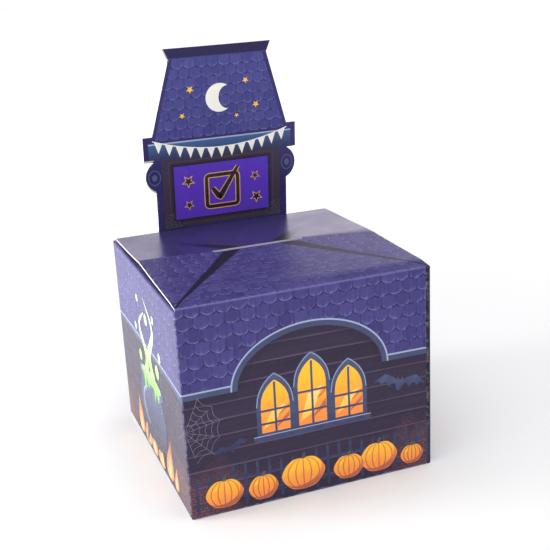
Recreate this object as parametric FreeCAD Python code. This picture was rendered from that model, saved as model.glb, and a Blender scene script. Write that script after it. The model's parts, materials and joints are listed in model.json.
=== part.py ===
"""Folding-board ballot box with a creased header card.

A square carton of white-lined fine-flute board, printed outside. Four walls make the sleeve. Two lids close the
top over two dust flaps and leave a posting slot where they meet. A tuck panel closes the bottom over two more dust
flaps. A die-cut header card stands at the rear, creased to a tab that is stuck to the back of the box.

Millimetres, +Z up, front towards -Y. The origin is on the underside, at the middle of the footprint.
Every flap is a separate panel, because each one turns about its own crease.
"""
import FreeCAD, Part

import math
import os

Vector = FreeCAD.Vector

# carton
box_width = 203.0
box_depth = 203.0
box_height = 167.5
board = 1.5
fold_round_share = 0.8

# creases and layers
crease_gap = 0.15
layer_gap = 0.3
overrun = 5.0

# lids and posting slot
rear_lid_depth = 93.0
lid_rise = 4.0
lid_side_inset = 1.5
lid_gap = 0.6
slot_length = 78.0
slot_width = 5.0
slot_corner_radius = 1.5

# dust flaps, top and bottom alike
dust_slot_clearance = 4.5
dust_end_inset = 8.0
dust_taper = 12.0
dust_corner_radius = 8.0

# tuck flap of the bottom panel
tuck_depth = 20.0
tuck_side_inset = 12.0
tuck_swing_clearance = 0.5
tuck_corner_radius = 9.0

# glued side seam
seam_width = 25.0
seam_taper = 8.0
seam_end_inset = 8.0

# header card, heights from its crease upwards and steps outwards from its foot
header_lean_degrees = 5.4
header_shift = 1.3
header_foot_gap = 0.3
header_foot_width = 121.4
header_foot_height = 35.8
corbel_height = 28.3
corbel_bulge = 8.6
corbel_neck_step = 0.6
cornice_height = 22.1
cornice_step = 9.2
roof_height = 64.6
roof_eave_step = 0.8
roof_taper = 17.9
cap_height = 9.2
cap_flare = 3.8

# tab under the header and the tape that holds it
header_tab_depth = 45.0
header_tab_taper = 6.0
tape_thickness = 0.2
tape_width = 12.0
tape_end_inset = 6.5
tape_edge_inset = 5.0

# places that follow from the sizes above
half_width = box_width / 2
half_depth = box_depth / 2
hinge_radius = board / 2
fold_radius = board * fold_round_share
side_top = box_height - board - layer_gap
side_bottom = board + layer_gap
lid_half_width = half_width - lid_side_inset
seam_y = half_depth - rear_lid_depth
dust_root = half_width - board - crease_gap
dust_length = dust_root - slot_length / 2 - dust_slot_clearance
header_front = half_depth + tape_thickness

# the tuck flap's tip swings forward as the bottom panel drops, so its crease stands back from the front wall
tuck_reach = box_depth - board - hinge_radius
tuck_tip_rise = board + crease_gap + tuck_depth - hinge_radius
tuck_swing = tuck_reach - math.sqrt(tuck_reach**2 - tuck_tip_rise**2)
bottom_front = board + tuck_swing + tuck_swing_clearance - half_depth

along_x = Vector(1, 0, 0)
along_y = Vector(0, 1, 0)
along_z = Vector(0, 0, 1)


def extruded(corners, path):
    """A solid from a closed outline of corner points, carried along a vector."""
    outline = Part.makePolygon(corners + corners[:1])
    return Part.Face(outline).extrude(path)


def rounded(solid, direction, places, radius):
    """A solid whose edges along a direction, through any of the places, are rounded off."""
    chosen = []
    for edge in solid.Edges:
        straight = isinstance(edge.Curve, Part.Line)
        if not straight or not edge.Curve.Direction.cross(direction).isEqual(Vector(), 1e-6):
            continue
        for place in places:
            if (edge.CenterOfMass - place).cross(direction).Length < board / 10:
                chosen.append(edge)
    return solid.makeFillet(radius, chosen)


def turned(shape, centre, axis, degrees):
    """A copy of a shape turned about an axis through a point."""
    copy = shape.copy()
    copy.rotate(centre, axis, degrees)
    return copy


def sleeve(low, high):
    """The four walls in one piece: a tube with rounded outer corners."""
    outer = Part.makeBox(box_width, box_depth, high - low, Vector(-half_width, -half_depth, low))
    corners = [Vector(x, y, low) for x in (-half_width, half_width) for y in (-half_depth, half_depth)]
    outer = rounded(outer, along_z, corners, fold_radius)
    inner_corner = Vector(board - half_width, board - half_depth, low - overrun)
    inner = Part.makeBox(box_width - 2 * board, box_depth - 2 * board, high - low + 2 * overrun, inner_corner)
    return outer.cut(inner)


def wall(side, low, high):
    """One wall between two heights, cut from the sleeve at 45 degrees through both of its corners."""
    outer_x, outer_y = half_width + overrun, half_depth + overrun
    inner_x, inner_y = half_width - board - overrun, half_depth - board - overrun
    sign = -1 if side in ("front", "left") else 1
    if side in ("front", "rear"):
        outer_y, inner_y = sign * outer_y, sign * inner_y
        corners = [(-outer_x, outer_y), (outer_x, outer_y), (inner_x, inner_y), (-inner_x, inner_y)]
    else:
        outer_x, inner_x = sign * outer_x, sign * inner_x
        corners = [(outer_x, -outer_y), (outer_x, outer_y), (inner_x, inner_y), (inner_x, -inner_y)]
    wedge = extruded([Vector(x, y, low) for x, y in corners], Vector(0, 0, high - low))
    return sleeve(low, high).common(wedge)


def rolled_fold(y, z):
    """The rolled outer edge of a crease along X, as round as the board is thick."""
    return Part.makeCylinder(hinge_radius, 2 * lid_half_width, Vector(-lid_half_width, y, z), along_x)


def front_wall():
    """Raw edge at the floor, rolled crease to the front lid at the top."""
    fold = rolled_fold(hinge_radius - half_depth, box_height - hinge_radius)
    return wall("front", 0, box_height - hinge_radius).fuse(fold).removeSplitter()


def rear_wall():
    """Rolled creases at the top, to the rear lid, and at the floor, to the bottom panel."""
    folds = [rolled_fold(half_depth - hinge_radius, z) for z in (hinge_radius, box_height - hinge_radius)]
    return wall("rear", hinge_radius, box_height - hinge_radius).fuse(folds).removeSplitter()


def side_wall(side):
    """A side wall, lower than the front one by a lid at the top and by the bottom panel at the floor."""
    outer = -half_width if side == "left" else half_width
    inner = outer + board if side == "left" else outer - board
    corner = Vector(min(outer, inner), -half_depth - overrun, side_bottom)
    slab = Part.makeBox(board, box_depth + 2 * overrun, side_top - side_bottom, corner)
    folds = [Vector(outer, 0, z) for z in (side_bottom, side_top)]
    return wall(side, side_bottom, side_top).common(rounded(slab, along_y, folds, fold_radius))


def side_glue_tab():
    """The tapered seam tab of the right wall, glued inside the rear wall."""
    near = half_width - board
    far = near - seam_width
    low, high = side_bottom + seam_end_inset, side_top - seam_end_inset
    outline = [(near, low), (near, high), (far, high - seam_taper), (far, low + seam_taper)]
    return extruded([Vector(x, half_depth - board, z) for x, z in outline], Vector(0, -board, 0))


def lid(crease_side, free_y, notch=None):
    """A flat lid from its crease to its free edge, sprung up about the crease until that edge has risen."""
    root_y = crease_side * (half_depth - board - crease_gap)
    low_y, high_y = sorted((root_y, free_y))
    corner = Vector(-lid_half_width, low_y, box_height - board)
    panel = Part.makeBox(2 * lid_half_width, high_y - low_y, board, corner)
    if notch is not None:
        panel = panel.cut(notch)
    hinge = Vector(0, crease_side * (half_depth - hinge_radius), box_height - hinge_radius)
    tilt = math.degrees(math.asin(lid_rise / abs(hinge.y - free_y)))
    return turned(panel, hinge, along_x * -crease_side, tilt)


def front_lid():
    """The front lid, notched along its free edge for the posting slot."""
    free_y = seam_y - lid_gap / 2
    slot_y = free_y - slot_width
    corner = Vector(-slot_length / 2, slot_y, box_height - board - overrun)
    notch = Part.makeBox(slot_length, slot_width + overrun, board + 2 * overrun, corner)
    ends = [Vector(x, slot_y, 0) for x in (-slot_length / 2, slot_length / 2)]
    return lid(-1, free_y, rounded(notch, along_z, ends, slot_corner_radius))


def rear_lid():
    """The plain rear lid, whose raw front edge is the back of the posting slot."""
    return lid(1, seam_y + lid_gap / 2)


def dust_flap(side, low):
    """A tapered dust flap with rounded free corners, lying flat from a side wall."""
    sign = -1 if side == "left" else 1
    root, tip = sign * dust_root, sign * (dust_root - dust_length)
    wide = half_depth - dust_end_inset
    narrow = wide - dust_taper
    outline = [(root, -wide), (root, wide), (tip, narrow), (tip, -narrow)]
    corners = [Vector(x, y, low) for x, y in outline]
    return rounded(extruded(corners, Vector(0, 0, board)), along_z, corners[2:], dust_corner_radius)


def bottom_panel():
    """The panel that closes the bottom, creased to the rear wall and rolled up at its front edge."""
    depth = half_depth - board - crease_gap - bottom_front
    panel = Part.makeBox(2 * lid_half_width, depth, board, Vector(-lid_half_width, bottom_front, 0))
    return rounded(panel, along_x, [Vector(0, bottom_front, 0)], fold_radius)


def bottom_tuck_flap():
    """The tuck flap that stands up inside the front wall, with rounded leading corners."""
    half = half_width - tuck_side_inset
    foot = board + crease_gap
    flap = Part.makeBox(2 * half, board, tuck_depth, Vector(-half, bottom_front, foot))
    leading = [Vector(x, bottom_front, foot + tuck_depth) for x in (-half, half)]
    return rounded(flap, along_y, leading, tuck_corner_radius)


def header_outline():
    """The right half of the header, from its foot up: wall, round corbel, cornice, tapering roof, flared cap."""
    foot = header_foot_width / 2
    corbel_low = header_foot_height
    cornice_low = corbel_low + corbel_height
    cornice_high = cornice_low + cornice_height
    cap_low = cornice_high + roof_height
    cap_foot = foot + roof_eave_step - roof_taper
    places = {
        "foot": (foot, header_foot_gap),
        "corbel_low": (foot, corbel_low),
        "corbel_side": (foot + corbel_bulge, corbel_low + corbel_height / 2),
        "corbel_high": (foot + corbel_neck_step, cornice_low),
        "cornice_low": (foot + cornice_step, cornice_low),
        "cornice_high": (foot + cornice_step, cornice_high),
        "roof_eave": (foot + roof_eave_step, cornice_high),
        "roof_top": (cap_foot, cap_low),
        "cap_top": (cap_foot + cap_flare, cap_low + cap_height),
    }
    return {name: Vector(x, header_front, box_height + z) for name, (x, z) in places.items()}


def header_card():
    """The house-shaped header, leaning a little forward from its crease, just right of the middle."""
    at = header_outline()
    straight = ["corbel_high", "cornice_low", "cornice_high", "roof_eave", "roof_top", "cap_top"]
    right = [Part.LineSegment(at["foot"], at["corbel_low"]).toShape()]
    right.append(Part.Arc(at["corbel_low"], at["corbel_side"], at["corbel_high"]).toShape())
    right += [Part.LineSegment(at[a], at[b]).toShape() for a, b in zip(straight, straight[1:])]
    left = [edge.mirror(Vector(), along_x) for edge in right]
    across = []
    for end in (at["foot"], at["cap_top"]):
        across.append(Part.LineSegment(end, Vector(-end.x, end.y, end.z)).toShape())
    outline = Part.Wire(Part.__sortEdges__(right + left + across))
    card = Part.Face(outline).extrude(Vector(0, board, 0))
    crease = Vector(0, header_front + board, box_height)
    card.translate(along_x * header_shift)
    return turned(card, crease, along_x, header_lean_degrees)


def header_tab():
    """The tab under the header's crease, stuck to the back of the rear wall."""
    half = header_foot_width / 2
    low = box_height - header_tab_depth
    narrow = half - header_tab_taper
    outline = [(-half, box_height), (half, box_height), (narrow, low), (-narrow, low)]
    return extruded([Vector(header_shift + x, header_front, z) for x, z in outline], Vector(0, board, 0))


def header_tape_strips():
    """Two strips of double-sided tape between the header tab and the rear wall."""
    length = header_foot_width - 2 * (header_tab_taper + tape_end_inset)
    low = box_height - header_tab_depth + tape_edge_inset
    high = box_height - tape_edge_inset - tape_width
    left = header_shift - length / 2
    strips = []
    for z in (low, high):
        strips.append(Part.makeBox(length, tape_thickness, tape_width, Vector(left, half_depth, z)))
    return Part.makeCompound(strips)


pieces = {
    "front_wall": front_wall(),
    "rear_wall": rear_wall(),
    "left_wall": side_wall("left"),
    "right_wall": side_wall("right"),
    "side_glue_tab": side_glue_tab(),
    "front_lid": front_lid(),
    "rear_lid": rear_lid(),
    "top_left_dust_flap": dust_flap("left", side_top - board),
    "top_right_dust_flap": dust_flap("right", side_top - board),
    "bottom_left_dust_flap": dust_flap("left", side_bottom),
    "bottom_right_dust_flap": dust_flap("right", side_bottom),
    "bottom_panel": bottom_panel(),
    "bottom_tuck_flap": bottom_tuck_flap(),
    "header_card": header_card(),
    "header_tab": header_tab(),
    "header_tape_strips": header_tape_strips(),
}
os.makedirs("parts", exist_ok=True)
for name, shape in pieces.items():
    shape.exportStep(f"parts/{name}.step")
    print(f"{name}: {len(shape.Solids)} solid(s), {shape.Volume:.1f} mm3, valid {shape.isValid()}")
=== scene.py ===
import json
import math
from functools import partialmethod

import bpy
import numpy as np
from mathutils import Matrix, Vector


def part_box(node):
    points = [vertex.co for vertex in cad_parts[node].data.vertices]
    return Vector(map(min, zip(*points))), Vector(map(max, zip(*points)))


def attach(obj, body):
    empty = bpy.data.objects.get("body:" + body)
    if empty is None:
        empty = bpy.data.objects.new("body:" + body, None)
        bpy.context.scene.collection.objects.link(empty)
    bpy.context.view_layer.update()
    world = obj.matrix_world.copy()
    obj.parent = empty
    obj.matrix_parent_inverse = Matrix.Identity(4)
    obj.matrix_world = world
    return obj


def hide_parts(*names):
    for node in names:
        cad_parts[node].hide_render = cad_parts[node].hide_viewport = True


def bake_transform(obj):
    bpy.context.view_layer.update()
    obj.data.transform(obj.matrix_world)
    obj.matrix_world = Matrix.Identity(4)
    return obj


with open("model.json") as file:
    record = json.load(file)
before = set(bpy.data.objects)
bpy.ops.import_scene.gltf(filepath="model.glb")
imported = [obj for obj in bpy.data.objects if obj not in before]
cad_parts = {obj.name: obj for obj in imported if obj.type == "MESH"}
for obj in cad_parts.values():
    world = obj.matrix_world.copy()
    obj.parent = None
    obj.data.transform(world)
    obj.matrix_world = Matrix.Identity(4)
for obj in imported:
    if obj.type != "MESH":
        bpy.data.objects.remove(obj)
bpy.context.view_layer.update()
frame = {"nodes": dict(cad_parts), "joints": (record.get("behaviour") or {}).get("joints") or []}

print("frame loaded,", len(frame["nodes"]), "nodes")

mm = 0.001
sideLow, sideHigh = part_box("left_wall")
frontLow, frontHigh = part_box("front_wall")
inkRoom = 0.2 * mm                         # printed faces lie this far inside the CAD box
halfWidth = -sideLow[0] - inkRoom          # outer face of the left wall
halfDepth = -frontLow[1] - inkRoom         # outer face of the front wall
boxTop = frontHigh[2]
sideTop, sideBottom = sideHigh[2], sideLow[2]
boardThickness = sideHigh[0] - sideLow[0]
boxWidth = -2 * sideLow[0]

# printed colours as sRGB
inks = {
    "shingleDark": (37, 31, 75), "shingle": (59, 53, 110), "shingleLight": (80, 75, 136),
    "shingleRim": (124, 120, 176), "rearTone": (48, 41, 96),
    "headerDark": (33, 33, 76), "headerScale": (60, 60, 124), "headerLight": (80, 80, 147),
    "headerRim": (114, 117, 178), "cap": (40, 36, 78), "corbel": (62, 57, 112),
    "hip": (24, 21, 36), "cornerShade": (30, 26, 38), "cornerShadeBreak": (96, 90, 100),
    "siding": (64, 54, 78), "sidingDark": (44, 37, 57), "sidingLine": (94, 78, 106),
    "trim": (80, 88, 122), "trimDark": (53, 57, 88), "trimLight": (154, 168, 198), "brick": (116, 74, 76),
    "orange": (240, 140, 70), "yellow": (252, 192, 52), "pane": (253, 226, 160), "stem": (84, 92, 74),
    "iron": (46, 44, 66), "green": (112, 176, 76), "greenPale": (206, 230, 176), "foam": (150, 190, 116),
    "flameTip": (168, 92, 74), "flameGold": (192, 138, 92), "ember": (214, 176, 118),
    "scuff": (168, 164, 194), "web": (126, 118, 140), "webDim": (84, 80, 88),
    "frameDark": (58, 51, 60), "door": (74, 52, 58), "sign": (91, 55, 186), "beam": (62, 92, 142),
    "bone": (238, 235, 225), "boneShade": (212, 206, 198), "gold": (196, 160, 96), "maroon": (44, 18, 34),
    # the cut colours make raw edges greyer than the liner, as painted shade
    "liner": (228, 227, 231), "linerShade": (194, 192, 197), "cut": (210, 203, 217),
    # the bare board colour is the liner greyed as painted shade
    "cutShade": (154, 146, 168), "bareBoardInShade": (186, 178, 176),
    "tape": (226, 225, 219), "tapeLight": (237, 235, 231),
}


def ink(name):
    # sRGB to scene-linear, with alpha
    rgb = np.array(inks[name]) / 255
    linear = np.where(rgb < 0.04045, rgb / 12.92, ((rgb + 0.055) / 1.055) ** 2.4)
    return (*linear.tolist(), 1.0)


def inMm(**sizes):
    # lengths given in mm, kept in metres
    return {name: np.multiply(size, mm).tolist() for name, size in sizes.items()}


class Wire:
    # one node socket; arithmetic and comparisons on it add Math nodes to the same tree
    def __init__(self, tree, socket):
        self.tree, self.socket = tree, socket

    def node(self, kind, inputs, output=0, **settings):
        made = self.tree.nodes.new("ShaderNode" + kind)
        for key, value in settings.items():
            setattr(made, key, value)
        for key, value in inputs.items():
            if isinstance(value, Wire):
                self.tree.links.new(value.socket, made.inputs[key])
            else:
                made.inputs[key].default_value = value
        return Wire(self.tree, made.outputs[output])

    def math(self, operation, *others):
        return self.node("Math", dict(enumerate((self, *others))), operation=operation)

    # a sum or a product reads the same from both sides
    __add__ = __radd__ = partialmethod(math, "ADD")
    __mul__ = __rmul__ = partialmethod(math, "MULTIPLY")
    __sub__ = partialmethod(math, "SUBTRACT")
    __truediv__ = partialmethod(math, "DIVIDE")
    __gt__ = partialmethod(math, "GREATER_THAN")
    __lt__ = partialmethod(math, "LESS_THAN")
    __abs__ = partialmethod(math, "ABSOLUTE")

    def __rsub__(self, other):
        return self * -1 + other

    def smooth(self, low, high):
        # smoothstep from 0 at low to 1 at high
        inputs = {"Value": self, "From Min": low, "From Max": high}
        return self.node("MapRange", inputs, interpolation_type="SMOOTHSTEP")

    def over(self, below, above):
        # this mask lays the colour above on the colour below; a colour is a wire or the name of an ink
        below, above = (ink(tone) if isinstance(tone, str) else tone for tone in (below, above))
        return self.node("Mix", {0: self, 6: below, 7: above}, 2, data_type="RGBA")

    def axes(self):
        parts = self.node("SeparateXYZ", {0: self})
        return [Wire(self.tree, socket) for socket in parts.socket.node.outputs]


def layered(colour, *coats):
    # coats of (mask, colour), laid on one another
    for mask, tone in coats:
        colour = mask.over(colour, tone)
    return colour


def startMaterial(name):
    # material with a Principled shader and its Object coordinates as three wires
    material = bpy.data.materials.new(name)
    material.use_nodes = True
    tree = material.node_tree
    shader = tree.nodes["Principled BSDF"]
    place = Wire(tree, tree.nodes.new("ShaderNodeTexCoord").outputs["Object"])
    return material, shader, place, *place.axes()


def noise(place, scale, stretch=(1, 1, 1), detail=3.0):
    # soft noise, stretched along an axis
    spread = place.node("VectorMath", {0: place, 1: stretch}, operation="MULTIPLY")
    return place.node("TexNoise", {"Vector": spread, "Scale": scale, "Detail": detail})


def link(wire, shader, name):
    wire.tree.links.new(wire.socket, shader.inputs[name])


def grey(value):
    return value.node("CombineXYZ", {0: value, 1: value, 2: value})


def addRelief(shader, height, strength, distance):
    relief = {"Strength": strength, "Distance": distance, "Height": height}
    link(height.node("Bump", relief), shader, "Normal")


def within(value, low, high):
    return (value > low) * (value < high)


# films as (roughness, IOR), then the paper and the board under them
gloss = {"wall": (0.27, 1.27), "frontLid": (0.42, 1.27), "rearLid": (0.33, 1.38),
         "fibre": 0.022, "fibreScale": 1400.0, "patch": 0.10, "patchScale": 60.0,
         "wave": 0.06, "waveScale": 26.0, "waveDepth": 0.002}


def finishPrint(shader, place, colour, film="wall"):
    # gloss film over ink: paper mottle in the colour, slow waves of the board under the film
    shift = grey((noise(place, gloss["fibreScale"], detail=2.0) - 0.5) * gloss["fibre"] * 2)
    tinted = place.node("VectorMath", {0: colour, 1: shift, 2: colour}, operation="MULTIPLY_ADD")
    link(tinted, shader, "Base Color")
    roughness, ior = gloss[film]
    patches = noise(place, gloss["patchScale"])
    link(patches * gloss["patch"] + (roughness - 0.5 * gloss["patch"]), shader, "Roughness")
    shader.inputs["IOR"].default_value = ior
    addRelief(shader, noise(place, gloss["waveScale"], detail=1.0), gloss["wave"], gloss["waveDepth"])


shingle = {"width": 0.058 * boxWidth, "course": 0.049 * boxWidth, "roundShare": 0.46, "wobble": 0.0022,
           "firstCut": 0.2, "headerSize": 0.87}
wallTones = ("shingle", "shingleLight", "shingleDark", "shingleRim")
headerTones = ("headerScale", "headerLight", "headerDark", "headerRim")


def shingleColour(across, down, place, tones=wallTones, size=1.0):
    # fish-scale courses: each scale ends in a half-ellipse that shades the course beneath it
    base, light, dark, rimTone = tones
    wobble = (noise(place, 90.0, detail=1.0) - 0.5) * shingle["wobble"]
    courses = (down + wobble) / (shingle["course"] * size)
    row = courses.math("FLOOR")
    fall = courses - row
    along = (across + wobble) / (shingle["width"] * size) + (row * 0.5).math("FRACT")
    column = along.math("FLOOR")
    side = (along - column) * 2 - 1
    curve = (1 - side * side).math("MAXIMUM", 0.0).math("SQRT")
    inside = (1 - shingle["roundShare"]) + curve * shingle["roundShare"] - fall
    cell = row.node("CombineXYZ", {0: column, 1: row})
    tone = cell.node("TexWhiteNoise", {"Vector": cell}, noise_dimensions="2D")
    onScale = inside > 0.0
    brush = noise(place, 520.0, (1, 1, 0.16)).smooth(0.42, 0.68)
    dabs = noise(place, 330.0, detail=2.0).smooth(0.38, 0.62)
    shade = (inside * -1).smooth(0.30, 0.0) * (1 - onScale)
    joint = abs(side).smooth(0.84, 1.0) * onScale
    rim = inside.smooth(0.15, 0.04) * onScale * dabs
    face = tone * 0.5 + brush * 0.25
    streaks = brush * inside.smooth(0.4, 0.05) * onScale * 0.28
    gaps = (shade * 0.95 + joint * 0.5).math("MINIMUM", 1.0)
    return layered(base, (face, light), (streaks, rimTone), (rim * 0.6, rimTone), (gaps, dark))


siding = {"pitch": 0.064 * boxWidth, "line": 0.055, "waver": 0.0018}


def sidingColour(down, place):
    # overlapping boards: a pale worn lower edge, a shadow under it and grain along each board
    waver = (noise(place, 14.0, detail=1.0) - 0.5) * siding["waver"]
    boards = (down + waver) / siding["pitch"]
    row = boards.math("FLOOR")
    fall = boards - row
    grain = noise(place, 120.0, (0.12, 0.12, 3.0), 4.0)
    tone = row.node("TexWhiteNoise", {"W": row}, noise_dimensions="1D")
    face = grain * 0.8 + tone * 0.35 - 0.25
    edge = fall.smooth(1 - 2 * siding["line"], 1 - siding["line"]) * (grain * 1.2 + 0.1)
    under = fall.smooth(0.22, 0.0) * 0.7
    return layered("sidingDark", (face, "siding"), (edge, "sidingLine"), (under, "sidingDark"))


wallPrint = {"eave": 0.322 * boxWidth, "trim": 0.027 * boxWidth, "trimLight": 0.0065 * boxWidth,
             "shadow": 0.06 * boxWidth, "archHalf": 0.315 * boxWidth, "archRise": 0.195 * boxWidth}
bricks = {"high": 0.60 * boxWidth, "fade": 0.2 * boxWidth, "reach": 0.25 * boxWidth, "ragged": 0.05,
          "size": (0.0046, 0.0024)}


def brickColour(across, down, colour, place):
    # faint brick courses that fade out of the lower corners
    long, tall = bricks["size"]
    rows = down / tall
    shifted = across / long + (rows.math("FLOOR") * 0.5).math("FRACT")
    faces = (rows.math("FRACT") > 0.22) * (shifted.math("FRACT") > 0.14)
    ragged = (noise(place, 70.0) - 0.5) * bricks["ragged"]
    corner = (abs(across) + ragged).smooth(halfWidth - bricks["reach"], halfWidth - 0.15 * bricks["reach"])
    low = (down + ragged).smooth(bricks["high"], bricks["high"] + bricks["fade"])
    patchy = noise(place, 240.0).smooth(0.3, 0.7) * 0.4 + 0.6
    return (faces * (corner * low).math("SQRT") * patchy).over(colour, "brick")


def archField(across, down, shrink):
    # over 1 outside a half-ellipse that stands on the eave line, under 1 inside it
    trim = wallPrint["trim"]
    wide = across / (wallPrint["archHalf"] - shrink)
    tall = (wallPrint["eave"] + trim - down) / (wallPrint["archRise"] + trim - shrink)
    return (wide * wide + tall * tall).math("SQRT")


# scuffs along edges and folds are rubbed patches; the pale line along the top fold is a painted highlight
wearAndFoldSheen = {"reach": 1.5 * mm, "most": 0.34, "fold": 1.3 * mm, "foldSheenMost": 0.42}


def scuffed(colour, fromEdge, place):
    # pale rubbed patches along an edge or a fold
    rough = noise(place, 240.0, detail=4.0) - 0.5
    rubbed = (fromEdge + rough * wearAndFoldSheen["reach"] * 3).smooth(wearAndFoldSheen["reach"], 0.0)
    return (rubbed * wearAndFoldSheen["most"]).over(colour, "scuff")


cornerShade = inMm(front=4.8, right=7.0, ragged=4.4)      # painted shade round the front right corner


def wallMaterial(side):
    # shingled roof, trim board at the eave and clapboards below, laid out from the top fold down
    material, shader, place, x, y, z = startMaterial(side + "WallPrint")
    across, half = (x, halfWidth) if side in ("front", "rear") else (y, halfDepth)
    down = boxTop - z
    eave, trimDeep, lightDeep = (wallPrint[key] for key in ("eave", "trim", "trimLight"))
    roof = shingleColour(across, down + shingle["firstCut"] * shingle["course"], place)
    boards = brickColour(across, down, sidingColour(down, place), place)
    belowTrim = down - (eave + trimDeep)
    shadow = belowTrim.smooth(wallPrint["shadow"], 0.0)
    underTrim = belowTrim > 0.0
    isLight = within(down, eave, eave + lightDeep)
    isTrim = (down > eave) * (belowTrim < 0.0)
    if side == "front":
        # arched gable over the windows
        outer, middle, inner = (archField(across, down, t) for t in (0.0, lightDeep, trimDeep))
        above = belowTrim < 0.0
        underTrim = underTrim.math("MAXIMUM", inner < 1.0)
        gable = (outer < 1.0) * above
        isTrim = isTrim.math("MAXIMUM", gable)
        isLight = (isLight * (outer > 1.0)).math("MAXIMUM", gable * (middle > 1.0))
        beside = shadow * (abs(across) > wallPrint["archHalf"] - trimDeep)
        shadow = beside.math("MAXIMUM", inner.smooth(0.80, 1.0) * above)
    boards = (shadow * 0.6).over(boards, "sidingDark")
    trim = layered("trim", (noise(place, 45.0, (0.4, 0.4, 1.0)) * 0.9, "trimDark"), (isLight, "trimLight"))
    # painted highlight: a pale line along the top fold, standing in for the sheen on the rounded fold
    foldHighlight = down.smooth(1.2 * wearAndFoldSheen["fold"], 0.2 * wearAndFoldSheen["fold"]) * wearAndFoldSheen["foldSheenMost"]
    colour = layered(roof, (isTrim, trim), (underTrim, boards), (foldHighlight, "shingleRim"))
    fromEdge = (half - abs(across)).math("MINIMUM", z).math("MINIMUM", down + wearAndFoldSheen["fold"])
    colour = scuffed(colour, fromEdge, place)
    # painted shade: a dark ragged strip along the front right corner, broken by paler patches, standing in
    # for the rounded corner turning away from the light
    if side in cornerShade:
        near = (halfWidth - x) if side == "front" else (y + halfDepth)
        ragged = (noise(place, 420.0) - 0.5) * cornerShade["ragged"]
        patchy = noise(place, 300.0, (0.6, 0.6, 1.0), 4.0).smooth(0.50, 0.62)
        patchy = patchy * near.smooth(cornerShade[side] * 0.2, cornerShade[side])
        colour = ((near + ragged) < cornerShade[side]).over(colour, patchy.over("cornerShade", "cornerShadeBreak"))
    finishPrint(shader, place, colour)
    return material


hip = {"ridge": 0.019, "wide": 0.0074, "least": 0.0006, "fade": (0.56, 0.16)}


def lidMaterial(name, seamY, frontSide):
    # hipped roof seen from above: courses run parallel to the front, and turn square beyond each hip line
    material, shader, place, x, y, z = startMaterial(name)
    away = (seamY - y) if frontSide else (y - seamY)
    reach = (seamY + halfDepth) if frontSide else (halfDepth - seamY)
    share = away / reach
    beyond = abs(x) - (share * (halfWidth - hip["ridge"]) + hip["ridge"])
    mottle = noise(place, 130.0)
    thick = (1 - share) * hip["wide"] + hip["least"]
    line = (abs(beyond) / thick + (mottle - 0.5) * 0.7).smooth(1.15, 0.75)
    colour = (beyond > 0.0).over(shingleColour(x, away, place), shingleColour(away, abs(x), place))
    if frontSide:
        dabs = noise(place, 210.0, detail=4.0).smooth(0.46, 0.64)
        colour = (dabs * 0.42).over(colour, "shingleDark")
    else:
        plain = noise(place, 40.0).over("shingleDark", "rearTone")
        colour = (mottle * 0.3 + 0.6).over(colour, plain)
        line = line * share.smooth(*hip["fade"])      # fades out at the rear
    colour = (line * 0.95).over(colour, "hip")
    finishPrint(shader, place, colour, "frontLid" if frontSide else "rearLid")
    return material


board = {"fibreScale": 900.0, "fibreStretch": (1, 1, 0.3), "flute": 3.2 * mm, "relief": 0.2 * mm}


def fibreNoise(place):
    return noise(place, board["fibreScale"], board["fibreStretch"], 4.0)


def linerMaterial(name, base, shade):
    # uncoated liner or raw board edge: short fibres, and grey lines along the flutes as painted shade
    material, shader, place, x, y, z = startMaterial(name)
    fibres = fibreNoise(place)
    flutes = ((x + y + z) * (2 * math.pi / board["flute"])).math("SINE") * 0.5 + 0.5
    link((fibres * 0.5 + flutes * 0.12 - 0.1).over(base, shade), shader, "Base Color")
    link(fibres * 0.2 + 0.68, shader, "Roughness")
    addRelief(shader, fibres, 0.25, board["relief"])
    return material


def flapMaterial(name, level, above, axis=2):
    # flap with the sheet's plain purple flood on its outer face, told from the bare liner by where it lies
    material, shader, place, *axes = startMaterial(name)
    outer = (axes[axis] > level) if above else (axes[axis] < level)
    fibres = fibreNoise(place)
    flood = (noise(place, 35.0) * 0.8 + fibres * 0.5 - 0.15).over("shingleDark", "shingle")
    link(outer.over(fibres.over("liner", "linerShade"), flood), shader, "Base Color")
    link(fibres * 0.15 - outer * 0.4 + 0.65, shader, "Roughness")
    addRelief(shader, fibres, 0.15, board["relief"])
    return material


def tapeMaterial():
    # milky double-sided tape
    material, shader, place = startMaterial("tapeFilm")[:3]
    streaks = noise(place, 300.0, (0.2, 1, 1))
    link(streaks.over("tape", "tapeLight"), shader, "Base Color")
    link(streaks * 0.2 + 0.25, shader, "Roughness")
    return material


def plainPrint(name, low, high, start, end, mottle):
    # ink that shades from one colour to another up the panel, with a painted mottle
    material, shader, place, x, y, z = startMaterial(name)
    blend = (z - start) / (end - start) + (noise(place, 160.0) - 0.5) * mottle
    finishPrint(shader, place, blend.smooth(0.0, 1.0).over(low, high))
    return material


def addMesh(name, grids, materials, outward):
    # one mesh from grids of points (rows, columns, 3), turned so that its faces look along a direction
    points, faces, first = [], [], 0
    for grid in grids:
        rows, columns = grid.shape[:2]
        at = np.arange(rows * columns).reshape(rows, columns) + first
        quads = np.stack([at[:-1, :-1], at[:-1, 1:], at[1:, 1:], at[1:, :-1]], axis=-1)
        points.append(grid.reshape(-1, 3))
        faces.append(quads.reshape(-1, 4))
        first += rows * columns
    mesh = bpy.data.meshes.new(name)
    mesh.from_pydata(np.concatenate(points).tolist(), [], np.concatenate(faces).tolist())
    mesh.validate()
    normals = np.array([face.normal * face.area for face in mesh.polygons])
    if normals.sum(axis=0) @ np.array(outward) < 0:
        mesh.flip_normals()
    mesh.shade_smooth()
    for material in materials:
        mesh.materials.append(material)
    piece = bpy.data.objects.new(name, mesh)
    bpy.context.scene.collection.objects.link(piece)
    return piece


sharpAngle = math.radians(40)


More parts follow.
